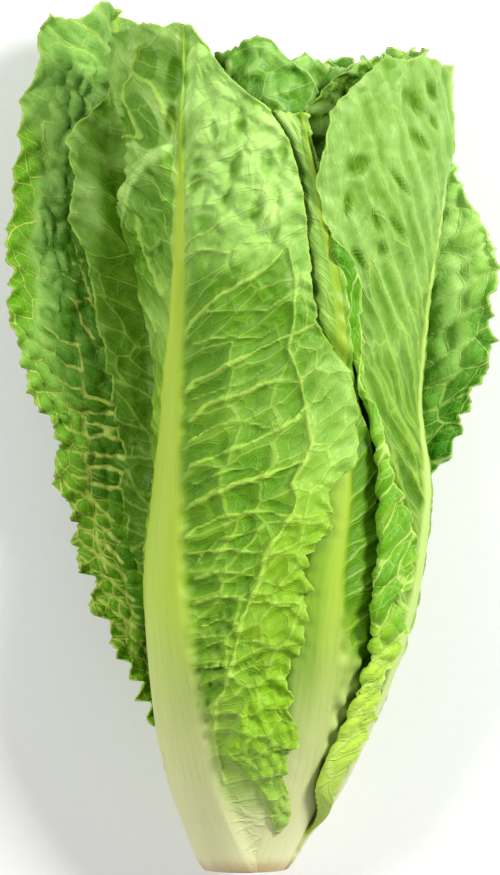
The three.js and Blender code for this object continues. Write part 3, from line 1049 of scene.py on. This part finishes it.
right_inside = leaf_face(
    "right_inside",
    (
        (104, 170, 26), (70, 140, 8), (140, 194, 38), (92, 154, 14), (196, 226, 112), (182, 220, 70),
        (220, 226, 140), (182, 220, 70),
    ),
    0.7, 0.5, 0.9,
)
RIGHT_HOLLOWS = (
    (53, 254.5, 4.6, 2.2, -35), (56, 241.5, 4.6, 1.7, -40), (34.5, 232.5, 3.6, 3.2, 0),
    (41, 215, 4.2, 1.5, -20), (42.5, 206, 3.2, 1.8, -30), (59.5, 258, 3, 1.2, -20),
    (60, 248.5, 3.4, 1.2, -30), (49, 227.5, 6, 1.1, -40), (31.5, 219.5, 3.6, 1.4, 0),
    (35.5, 202.5, 4, 1.2, -30), (48, 213, 5, 1.1, -38), (28.5, 203.5, 3.5, 1.1, -10),
)
RIGHT_STRIP = (
    (0, 0.2), (11, 0.5), (18.5, 3.5), (28, 7), (42, 9.5), (59, 8.5), (65, 9.5), (74, 9), (80, 12),
    (85, 12.5), (93, 11), (100, 16.5), (105.5, 14), (110, 16.5), (117, 14.5), (123, 10), (130, 4),
    (150, 4), (156, 5), (162, 1.5), (172, 5.5), (187, 6), (196, 8.5), (204, 7), (212, 1), (218, 0.2),
    (290, 0.2),
)


def right_shape(s, h, edge, x):
    """Fine creases, swollen cells high up, and the big hollows."""
    crinkle = 0.5 * np.minimum(drift(s / 3 + h / 9, h / 8), 0)
    crinkle = crinkle + 0.6 * pillows(s / 5, h / 7) * smooth(h, 140, 190)
    return -1.7 * hollows(x, h, RIGHT_HOLLOWS) * (s < 0) + crinkle


def right_tone(s, h, edge, x):
    """Painted shade in the hollows, a little deeper off the rolled strip, which is bright low down."""
    rolled = (s < 0) * smooth(follow(RIGHT_STRIP, h) + 1 - edge, -2, 2) * (1 - smooth(h, 112, 126))
    # Painted shade in the hollows.
    dents = 0.8 * hollows(x, h, RIGHT_HOLLOWS) * (s < 0)
    return dents + 0.22 * (1 - rolled) - rolled * mix(0.9, -0.45, smooth(h, 60, 108))


grow_leaf(
    "right_leaf",
    rib_path=((0, 88), (20, 83), (50, 77), (110, 75), (137, 77), (181, 78), (224, 78), (273, 84)),
    layer=2.6, foot_share=0.93, foot=0, tip=272,
    stand_off=(
        (0, 0), (9, 0.5), (19, 3.5), (30, 5), (125, 5.5), (140, 3.5), (155, 1), (190, 2), (240, 8),
        (272, 9),
    ),
    left={
        "reach": (
            (0, 12), (11, 17), (18.5, 19.3), (28, 21), (37, 24.5), (46.5, 29.5), (55.5, 32.5), (65, 36),
            (74, 39.5), (84, 39.8), (93, 39.5), (102, 40.5), (111, 41.4), (131, 42), (147, 40),
            (160, 35.5), (172, 32.5), (187, 30), (202, 27.5), (218, 23), (229, 21.5), (238, 22.5),
            (254, 26.5), (262, 33), (268, 38), (272, 46),
        ),
        "foot_width": ((0, 3), (30, 6)),
        "foot_blend": (10, 30),
        "roll": ((0, 40), (12, 80), (28, 150), (60, 165), (290, 168)),
        "strip": RIGHT_STRIP,
    },
    right={
        "width": (
            (0, 8), (30, 18), (60, 29), (80, 34), (110, 34), (190, 34), (230, 27), (260, 14), (272, 6),
        ),
    },
    rib_width=((0, 7), (20, 5), (60, 7), (110, 7.5), (140, 5), (160, 3), (230, 1.2)),
    rib_thick=((0, 5), (30, 3), (100, 3), (220, 0.8)),
    rib_ridge=1.0, ridge=0.35,
    quilt=((0, 0.4), (40, 1.0), (60, 1.9), (122, 2.0), (150, 0.9), (290, 0.8)),
    wave=1.0, frill=0.8,
    tooth=((0, 1.5), (40, 2.6), (125, 3.0), (150, 1.8), (200, 1.0), (290, 0.5)),
    climb=2.6,
    vein_show=((0, 0.6), (130, 0.8), (190, 0.7), (235, 0.35), (290, 0.15)),
    shape=right_shape, tone=right_tone,
    top_drop=((-60, 6), (-40, 4), (-33, 3.6), (-17, 4.6), (-9, 3.5), (0, 5), (20, 8)),
    seed=17,
    materials=(leaf_outside, right_inside),
)

# ---- Centre right leaf -----------------------------------------------------
# It is wrapped in under the front leaf. Mostly its midrib shows, broad, thick
# and smooth, beside the front leaf's right margin.

front_outside = leaf_face(
    "front_outside",
    (
        (180, 224, 120), (106, 156, 46), (130, 176, 34), (84, 136, 16), (176, 213, 86), (178, 207, 68),
        (232, 230, 176), (132, 184, 22),
    ),
    0.35, 0.65, 0.8,
)
CENTRE_SHOWS = ((150, 36), (166, 33), (181, 21.5), (204, 19.5), (228, 16.5), (238, 13.5), (250, 6))


def centre_crescent(h, x):
    """1 in the strip that shows high up beside the front leaf's margin."""
    return smooth(x - follow(CENTRE_SHOWS, h), -0.5, 3) * smooth(h, 158, 180)


def centre_bumps(s, h, edge, x):
    """Soft and uneven beside the low rib, and lifted where the high strip shows."""
    beside = smooth(s, 5, 9) * band(h, 22, 36, 84, 96)
    return beside * (1.5 * drift(s / 3.6 + h / 20, h / 4.2 + 2) - 1.0) + 3.2 * centre_crescent(h, x)


def centre_tone(s, h, edge, x):
    """Painted shade: deeper on the rib, most on its left side, which is turned from
    the light, and in the valley to its right. In the strip that shows high up the
    rib is deeper and the blade lighter.
    """
    rib_shade = mix(0.15, 0.36, smooth(h, 30, 75)) + 0.26 * smooth(h, 35, 80) * smooth(-s, -3, 4)
    valley_shade = 0.75 * smooth(s, 6, 9) * band(h, 82, 100, 140, 175)
    crescent_shade = mix(0.45, -0.15, smooth(np.abs(s), 1.5, 4))
    return mix(rib_shade + valley_shade, crescent_shade, centre_crescent(h, x))


grow_leaf(
    "centre_right_leaf",
    rib_path=(
        (0, 36), (24, 39), (57, 28), (80, 23), (100, 21), (120, 22), (137, 22), (166, 21.5), (195, 18),
        (218, 13.5), (243, 9.5), (254, 8),
    ),
    stand_off=((0, 0), (20, 1.2), (60, 1.2), (95, 0)),
    layer=2.0, foot_share=0.8, foot=0, tip=250,
    left={
        "width": ((0, 7), (40, 16), (140, 50), (209, 36), (240, 22), (250, 8)),
        "rib_width": ((0, 10), (30, 13), (60, 13), (97, 11), (137, 6), (166, 2.6), (195, 1.8), (240, 0.7)),
    },
    right={
        "reach": (
            (0, 12), (11, 18), (18.5, 22), (28, 26), (37, 30), (46.5, 34.5), (55.5, 37.5), (65, 41),
            (74, 43), (93, 44), (102, 45), (111, 45), (125, 44), (140, 41), (155, 36), (175, 32),
            (190, 31), (202, 28.5), (212, 26), (220, 23.5), (229, 21.5), (238, 19.5), (250, 14),
        ),
        "rib_width": (
            (0, 12), (30, 22), (68, 24), (80, 12), (97, 8), (137, 5), (166, 2.6), (195, 1.8), (240, 0.7),
        ),
    },
    rib_width=((0, 10), (30, 11), (60, 10), (97, 8.2), (137, 6.5), (166, 3.2), (195, 2.2), (240, 0.8)),
    rib_thick=((0, 6), (100, 4), (220, 0.8)),
    rib_ridge=1.2,
    quilt=((0, 0.4), (120, 0.5), (290, 0.8)),
    ridge=0.25, climb=2.2,
    vein_show=((0, 0.4), (60, 0.2), (140, 0.2), (160, 0.4), (290, 0.4)),
    wave=0.8, frill=0.6,
    tooth=((0, 0.6), (290, 0.5)),
    shape=centre_bumps, tone=centre_tone, seed=22,
    materials=(front_outside, leaf_inside),
)

# ---- Front leaf ------------------------------------------------------------
# The leaf that covers most of the front, outer face up, with its midrib along
# the head's left side and its low right margin frilled over its neighbour.

FRONT_VEINS = (
    # right of the midrib, from the top down
    (0.5, 0.3, ((-24, 222), (-19.5, 226.5), (-15, 229))),
    (0.5, 0.3, ((-23, 216), (-19, 220), (-11, 220.5))),
    (0.7, 0.3, ((-22, 204), (-18.5, 209.5), (-12, 212), (-6, 218))),
    (0.7, 0.3, ((-22, 203), (-15, 206), (-6.5, 205), (-1, 208), (4, 208))),
    (
        1.2, 0.6, ((-21, 178), (-18.8, 182.3), (-14, 187), (-9.5, 191), (-4, 193.8), (2.5, 198),
            (7, 201), (12, 207)),
    ),
    (0.5, 0.3, ((-19, 183), (-15, 185.5), (-9.5, 186.5), (4.5, 186), (12.5, 190.8), (16, 193))),
    (0.4, 0.3, ((-18, 175.5), (-12, 177.2), (-6, 177.8), (3, 177), (8, 180))),
    (
        1.0, 0.6, ((-20.5, 160), (-18, 163.5), (-10.5, 166.5), (-4, 170.3), (3.5, 174), (10, 176.8),
            (15.5, 179), (20, 181)),
    ),
    (0.4, 0.3, ((-20, 157), (-12, 160), (-2, 163), (6, 168))),
    (
        0.9, 0.5, ((-19, 150.5), (-15.2, 155), (-8.7, 157.8), (-1.3, 159.6), (3.3, 161.5), (8, 163.4),
            (15.4, 162.9)),
    ),
    (0.6, 0.3, ((-19, 143.5), (-15.2, 147), (-8.7, 149.5), (-1.3, 150.4), (5, 148), (12, 151))),
    (
        0.9, 0.6, ((-18, 136), (-8.7, 140), (-1.3, 142.8), (5.2, 146), (11.6, 149), (14.4, 150.6),
            (18.1, 155.5)),
    ),
    (0.5, 0.3, ((-18, 129.5), (-10, 133.2), (-5, 134.8), (2, 135), (7, 132))),
    (0.9, 0.6, ((-18, 123), (-10.5, 126.8), (-1.3, 131), (6, 132.8), (13.5, 135.6), (18.6, 137.9))),
    (0.7, 0.5, ((-20, 112), (-17, 115.6), (-10.5, 118.9), (-1.3, 120.7), (5.2, 121.2), (13.5, 119.4))),
    (0.5, 0.3, ((-17, 105), (-10.5, 112), (-2, 113.5), (4, 116))),
    (0.7, 0.5, ((-20, 107), (-14, 108.3), (-6, 108.7), (5.2, 107.3))),
    (0.6, 0.4, ((-18, 99), (-10, 101.5), (-3, 101), (3.3, 99))),
    (0.6, 0.4, ((-18, 91), (-10, 93.5), (-4, 92.5), (0.5, 92))),
    (0.5, 0.4, ((-16, 83.5), (-9, 86), (-3.5, 84))),
    (0.5, 0.4, ((-15, 76.5), (-9, 78.5), (-4.5, 76.4))),
    (0.5, 0.4, ((-14, 70), (-9, 71.5), (-6, 70))),
    # the vein that joins them near the right margin
    (
        0.5, 0.9,
        (
            (12, 207), (15, 196), (14.4, 185), (12.6, 173), (16.3, 163.8), (18.1, 155.5), (20, 142.5),
            (18.6, 137.9), (13.5, 130.5), (15.4, 124.9), (13.5, 119.4), (5.2, 107.3), (3.3, 99),
            (-3.5, 83), (-4.5, 76.4), (-7.2, 65.3), (-10.9, 58), (-11, 44), (-8, 32),
        ),
    ),
    # its branches to the margin
    (0.5, 0.3, ((16.3, 163.8), (20, 166), (24, 172))),
    (0.5, 0.3, ((18.1, 155.5), (23, 157), (28, 163))),
    (0.6, 0.3, ((20, 142.5), (25, 143), (31, 146))),
    (0.7, 0.3, ((13.5, 119.4), (20, 119.5), (26, 121))),
    (0.6, 0.3, ((5.2, 107.3), (10, 108), (17, 112))),
    (0.5, 0.3, ((3.3, 99), (9, 97), (15, 99))),
    (0.6, 0.3, ((0, 91), (6, 92), (13, 90), (18, 85))),
    (0.5, 0.3, ((-4, 78), (2, 79), (8, 78))),
    (0.5, 0.3, ((-6, 68), (0, 70), (7, 71))),
    # left of the midrib
    (0.6, 0.4, ((-26, 222.5), (-31.5, 229.8), (-35.2, 235.2))),
    (0.6, 0.4, ((-27, 192), (-31.5, 201.8), (-35.2, 212.2), (-38.8, 226.2))),
    (0.6, 0.4, ((-31, 180), (-36.8, 196.5), (-41.5, 212.2))),
    (0.9, 0.8, ((-25, 241), (-26.8, 247.3), (-28.5, 253.8), (-33.2, 260.3), (-38.8, 264))),
    (0.6, 0.9, ((-36.8, 272.3), (-38.8, 264), (-42.5, 260.3), (-41.5, 254.7), (-38.8, 249.2), (-36, 243))),
    (0.6, 0.4, ((-36, 243), (-41.5, 244.2), (-46, 242.8))),
)
FRONT_HOLLOWS = (
    (-16, 233, 2.2, 2.5, 0), (-17.5, 227.5, 3.6, 2.2, 30), (-13.5, 214, 3, 3.5, 40),
    (-4.5, 233, 4, 2, 10), (2, 218.5, 4, 2, 20), (-7.5, 222.5, 3, 1.5, 30), (5, 234, 4, 2, 0),
    (8.5, 222.5, 4, 2, -10), (-11.5, 244.5, 3, 1.5, 0), (-3, 246.5, 4, 2, 0), (7.5, 210, 3.6, 1.8, 20),
    (10.5, 236, 3, 1.5, 0), (-34.5, 224.5, 4.2, 1.3, -35), (-30, 228, 4.6, 1.2, -35),
    (-29.5, 221.5, 3, 1.2, -30), (-36, 216.5, 4, 1.3, -40), (-36.5, 211.5, 1.8, 1.3, 0),
    (-35, 206, 1.8, 1.1, 0), (-32.5, 210, 2.6, 1.1, -30), (-30.5, 214, 2.7, 1, -30),
    (-27.5, 217.5, 4, 1.1, -30), (-33.5, 201.5, 2, 1, 0), (-31.5, 204.5, 1.6, 0.9, 0),
    (-37, 204.5, 2, 1, 0), (-28.5, 207, 1.8, 1, 0),
)
FRONT_PATCHES = ((-35.5, 248.5, 9, 4.4, -25), (-34.2, 266.8, 5.5, 3.8, 0), (-41, 246, 4, 3, -20))
RIB_HOLLOWS = ((-24.3, 261.5, 6.2, 2.5, 0), (-25.4, 247.7, 4.8, 2, 0))
LOBE_EDGE = ((-44, 210), (-42, 219), (-39, 229.5), (-33.5, 236.5), (-26, 240), (-20, 242))
LOW_FRILL_EDGE = ((0, 14), (12, 8), (28, 4), (35, -1), (43, -8), (50, -5), (58, -2), (66, 2), (75, 10))
JOINING_VEIN = (
    (50, -11), (65, -8), (83, -4), (99, 3), (107, 5), (119, 13), (125, 15), (138, 19), (155, 18),
    (173, 13), (185, 14), (207, 12),
)


def front_lobe(s, h, x):
    """How far below the left lobe's upper edge a point is, in millimetres."""
    return np.where(s < -1, read_line(LOBE_EDGE, x) - h, 99)


def low_frill(h, x):
    """1 in the crumpled, bright strip along the low right margin."""
    return smooth(x - read_line(LOW_FRILL_EDGE, h), -1, 1.5) * band(h, 8, 18, 62, 74)


def between_veins(h, x):
    """1 between the midrib and the vein that joins the side veins."""
    short_of_vein = smooth(read_line(JOINING_VEIN, h) - x, -1, 3)
    return short_of_vein * smooth(x, -26, -20) * band(h, 34, 60, 192, 215)


def pits(h, x):
    """Rows of small deep hollows low down, between the side veins."""
    row = np.cos(2 * math.pi * (h - 0.25 * x + drift(x / 6, h / 9)) / 5.6)
    column = np.cos(2 * math.pi * (x + 1.2 * drift(x / 5, h / 7 + 4)) / 3.4)
    shown = (np.clip(row, 0, 1) * np.clip(column, 0, 1)) ** 1.5
    shown = shown * smooth(drift(x / 5 + 3, h / 6), -0.5, 0.2)
    return shown * between_veins(h, x) * smooth(x, -19, -14) * (1 - smooth(h, 88, 104))


def front_shape(s, h, edge, x):
    """The lobe's step, hollows, pits, the crumpled strip and the savoyed crown."""
    below = front_lobe(s, h, x)
    step = 1.9 * np.exp(-np.maximum(below, 0) / 22)
    step = np.where(below > 0, step, -np.exp(np.minimum(below, 0) / 9))
    step = step * smooth(np.abs(s), 2, 6) * (below < 90)
    dents = np.minimum(drift(s / 5 + h / 14, h / 5.5), 0.25) * smooth(h, 165, 205) * smooth(np.abs(s), 4, 9)
    dents = dents - 1.2 * hollows(x, h, FRONT_HOLLOWS) - 2.2 * hollows(x, h, RIB_HOLLOWS)
    dents = dents - 0.8 * hollows(x, h, FRONT_PATCHES)
    crumple = 1.2 + drift(s / 3.2, h / 4.5 + 9) + 0.9 * pillows(s / 3.5, h / 4)
    crumple = crumple * low_frill(h, x)
    puffs = -0.7 * (1 - on_veins(x, h, FRONT_VEINS)) * between_veins(h, x)
    crown = 0.4 * pillows(s / 4.5, h / 4.2) + 0.8 * pillows(s / 9, h / 8 + 7)
    crown = crown * smooth(h, 175, 200) * smooth(np.abs(s), 3, 6) * np.where(s < 0, 0.35, 1)
    return 1.6 * step + 1.2 * dents - 1.3 * pits(h, x) + crumple + puffs + crown


def front_tone(s, h, edge, x):
    """Deeper in the saturated patches and just above the lobe's edge; painted shade
    between the veins and in the pits, the hollows, the lobe, the crown left of the
    rib and a few shaded zones; painted highlights along the lobe's edge and on the
    right of the crown; bright where the strip along the low margin is crumpled."""
    below = front_lobe(s, h, x)
    # A painted highlight along the lobe's edge.
    lobe_highlight = np.exp(-(((below - 0.5) / 0.8) ** 2)) * (s < -1)
    above_lobe = smooth(-below, 0, 2) * (1 - smooth(-below, 12, 24)) * (s < -1)
    above_lobe = above_lobe * smooth(drift(x / 8 + 2, h / 9) + 0.4 * drift(x / 4, h / 4), -0.5, 0.4)
    # Painted shade between the veins and in the pits.
    dark = mix(0.2, 0.45, smooth(h, 70, 130)) * (1 - on_veins(x, h, FRONT_VEINS)) * between_veins(h, x)
    dark = dark + 0.8 * pits(h, x) + 0.45 * (1 - smooth(np.abs(s), 1, 2.5)) * smooth(h, 222, 240)
    in_lobe = (s < -3) * band(below, 1, 4, 30, 60)
    # The right of the crown gets a painted highlight, with a few darker patches.
    right_crown = smooth(s, 4, 9) * smooth(h, 190, 235)
    shade = right_crown * smooth(drift(x / 9 + 3, h / 12), 0.1, 0.5)
    shade = shade + 1.3 * smooth(s, 3, 8) * band(h, 170, 185, 192, 215)
    shade = shade + smooth(x, 6, 14) * band(h, 138, 155, 180, 200)
    margin_zone = smooth(x, -6, 6) * (1 - between_veins(h, x)) * band(h, 60, 80, 118, 150)
    low_green = smooth(x, -20, -13) * band(h, 12, 30, 44, 58) * (1 - low_frill(h, x))
    # Painted shade in the hollows, the lobe and the crown left of the rib; deeper in the saturated patches.
    dark = dark + mix(0.9, 0.45, smooth(s, -1, 2)) * hollows(x, h, FRONT_HOLLOWS)
    dark = dark + 1.2 * hollows(x, h, RIB_HOLLOWS) + 0.95 * smooth(hollows(x, h, FRONT_PATCHES), 0.12, 0.3)
    dark = dark + 0.4 * above_lobe + 0.75 * in_lobe + 0.35 * (s < -3) * smooth(h, 240, 255) + 0.35 * shade
    bright = 0.65 * low_green + mix(0.9, 1.3, smooth(h, 24, 42)) * low_frill(h, x)
    return dark - bright - 0.4 * lobe_highlight - 0.35 * margin_zone - 0.25 * right_crown


grow_leaf(
    "front_leaf",
    rib_path=(
        (0, -30), (24, -40), (51, -45), (78, -52), (111, -59), (141, -63), (164, -59), (191, -50),
        (224, -40), (271, -32),
    ),
    layer=0.6, foot_share=1, foot=0, tip=280,
    left={
        "reach": (
            (0, -16), (28, -26), (45, -29.8), (63, -31.5), (80, -33), (98, -34), (117, -34.3),
            (135, -34.2), (144, -34.8), (164, -36.5), (184, -37.5), (203, -38.8), (222, -42.5),
            (235, -41), (240, -42), (252, -44), (257, -48), (262, -49.5), (271, -48), (278, -46.5),
            (280, -45),
        ),
        "foot_width": ((0, 24), (30, 38), (60, 48), (80, 40), (100, 32), (120, 26), (150, 22)),
        "foot_blend": (100, 140),
        "pressed": (100, 130),
        "rib_width": (
            (0, 22), (60, 30), (100, 26), (124, 17), (145, 10), (157, 8), (190, 4.2), (224, 2.1),
            (245, 1), (283, 0.4),
        ),
        "tooth": ((0, 0), (150, 0), (165, 0.3), (235, 0.2), (250, 0.6), (290, 0.6)),
        "frill": ((0, 0), (150, 0), (180, 0.5), (235, 0.5), (250, 1.0), (290, 1.0)),
    },
    right={
        "reach": (
            (0, 2), (8, 3), (13, 9), (22, 13.5), (33, 11), (43, 11.5), (46, 15.8), (58, 13.5), (69, 10.2),
            (76, 17.5), (91, 18.5), (107, 19.8), (110.5, 18), (114, 29), (122, 24.5), (131, 27.5),
            (137, 36), (147, 35.5), (159, 34), (166, 33), (181, 21.5), (204, 19.5), (228, 16.5),
            (238, 13.5), (244.7, 10.4), (248.6, 8.5), (252.4, 5.3), (257.3, -0.8), (263.6, -6.6),
            (271.6, -12.6), (277.8, -17.2), (280, -19),
        ),
    },
    rib_width=(
        (0, 14), (30, 12), (60, 13), (90, 13.5), (124, 12), (157, 8), (190, 4.2), (224, 2.1), (245, 1),
        (283, 0.4),
    ),
    rib_thick=((0, 6), (60, 5), (124, 3.6), (190, 1.8), (250, 0.7)),
    rib_ridge=1.6,
    quilt=((0, 0.2), (30, 0.6), (60, 1.4), (110, 1.5), (160, 1.2), (200, 0.9), (290, 0.9)),
    ridge=0.9, wave=1.3, frill=1.2,
    tooth=((0, 2.4), (115, 2.4), (150, 1.1), (200, 0.6), (290, 0.5)),
    vein_show=((0, 0.2), (200, 0.25), (290, 0.15)),
    top_drop=((-60, 4), (-42, 1.5), (-24, 1.2), (-13, 0.2), (-8, 1.8), (-2, 0.8), (4, 2.2), (10, 3)),
    top_wave=0.6, veins=FRONT_VEINS, shape=front_shape, tone=front_tone, detail=1.15, seed=1,
    materials=(front_outside, leaf_inside),
)

# ---- Floor, lights and camera ----------------------------------------------
# A plain pale table, a large soft light from the upper right, a weaker one
# from the left, and a camera straight above the head.

bpy.ops.object.select_all(action="DESELECT")
bpy.ops.mesh.primitive_plane_add(size=6, location=(0, 0, 0))
floor = bpy.context.object
floor.name = "floor"
floor_material, tree, shader = new_material("floor_paper")
grain_place = add_node(tree, "ShaderNodeTexCoord").outputs["Object"]
fibres = add_node(
    tree, "ShaderNodeTexNoise", {"Vector": grain_place, "Scale": 300, "Detail": 3}
).outputs["Fac"]
tints = {0: fibres, 6: (0.95, 0.95, 0.95, 1), 7: (0.92, 0.92, 0.92, 1)}
tint = add_node(tree, "ShaderNodeMix", tints, data_type="RGBA").outputs[2]
matt = add_node(tree, "ShaderNodeMapRange", {"Value": fibres, "To Min": 0.76, "To Max": 0.84})
cover(tree, shader, tint, matt.outputs["Result"], fibres, 0.05, 0.2)
floor.data.materials.append(floor_material)

LAMP_AIM = 0.05


def soft_light(name, place, size, power):
    """A square lamp that faces the head's middle."""
    light = bpy.data.lights.new(name, "AREA")
    light.size = size
    light.energy = power
    lamp = bpy.data.objects.new(name, light)
    bpy.context.scene.collection.objects.link(lamp)
    lamp.location = place
    toward = Vector((0, 0, LAMP_AIM)) - lamp.location
    lamp.rotation_euler = toward.to_track_quat("-Z", "Y").to_euler()


soft_light("key_light", (0.95, 0.45, 0.95), 0.4, 21)
soft_light("fill_light", (-0.65, 0.45, 1.0), 0.5, 8.5)
sky = bpy.data.worlds.new("studio")
sky.use_nodes = True
daylight = sky.node_tree.nodes["Background"].inputs
daylight["Color"].default_value = (1, 1, 1, 1)
daylight["Strength"].default_value = 0.3
bpy.context.scene.world = sky
bpy.context.scene.view_settings.view_transform = "Standard"

CAMERA_HEIGHT = 1.5
FILM = 36
VIEW_LENGTH = (291 + 2 / 3) * MM
view = bpy.data.cameras.new("camera")
view.sensor_width = FILM
view.lens = FILM * (CAMERA_HEIGHT - MIDDLE_HEIGHT * MM) / VIEW_LENGTH
camera = bpy.data.objects.new("camera", view)
bpy.context.scene.collection.objects.link(camera)
camera.location = (0, 0, CAMERA_HEIGHT)
bpy.context.scene.camera = camera
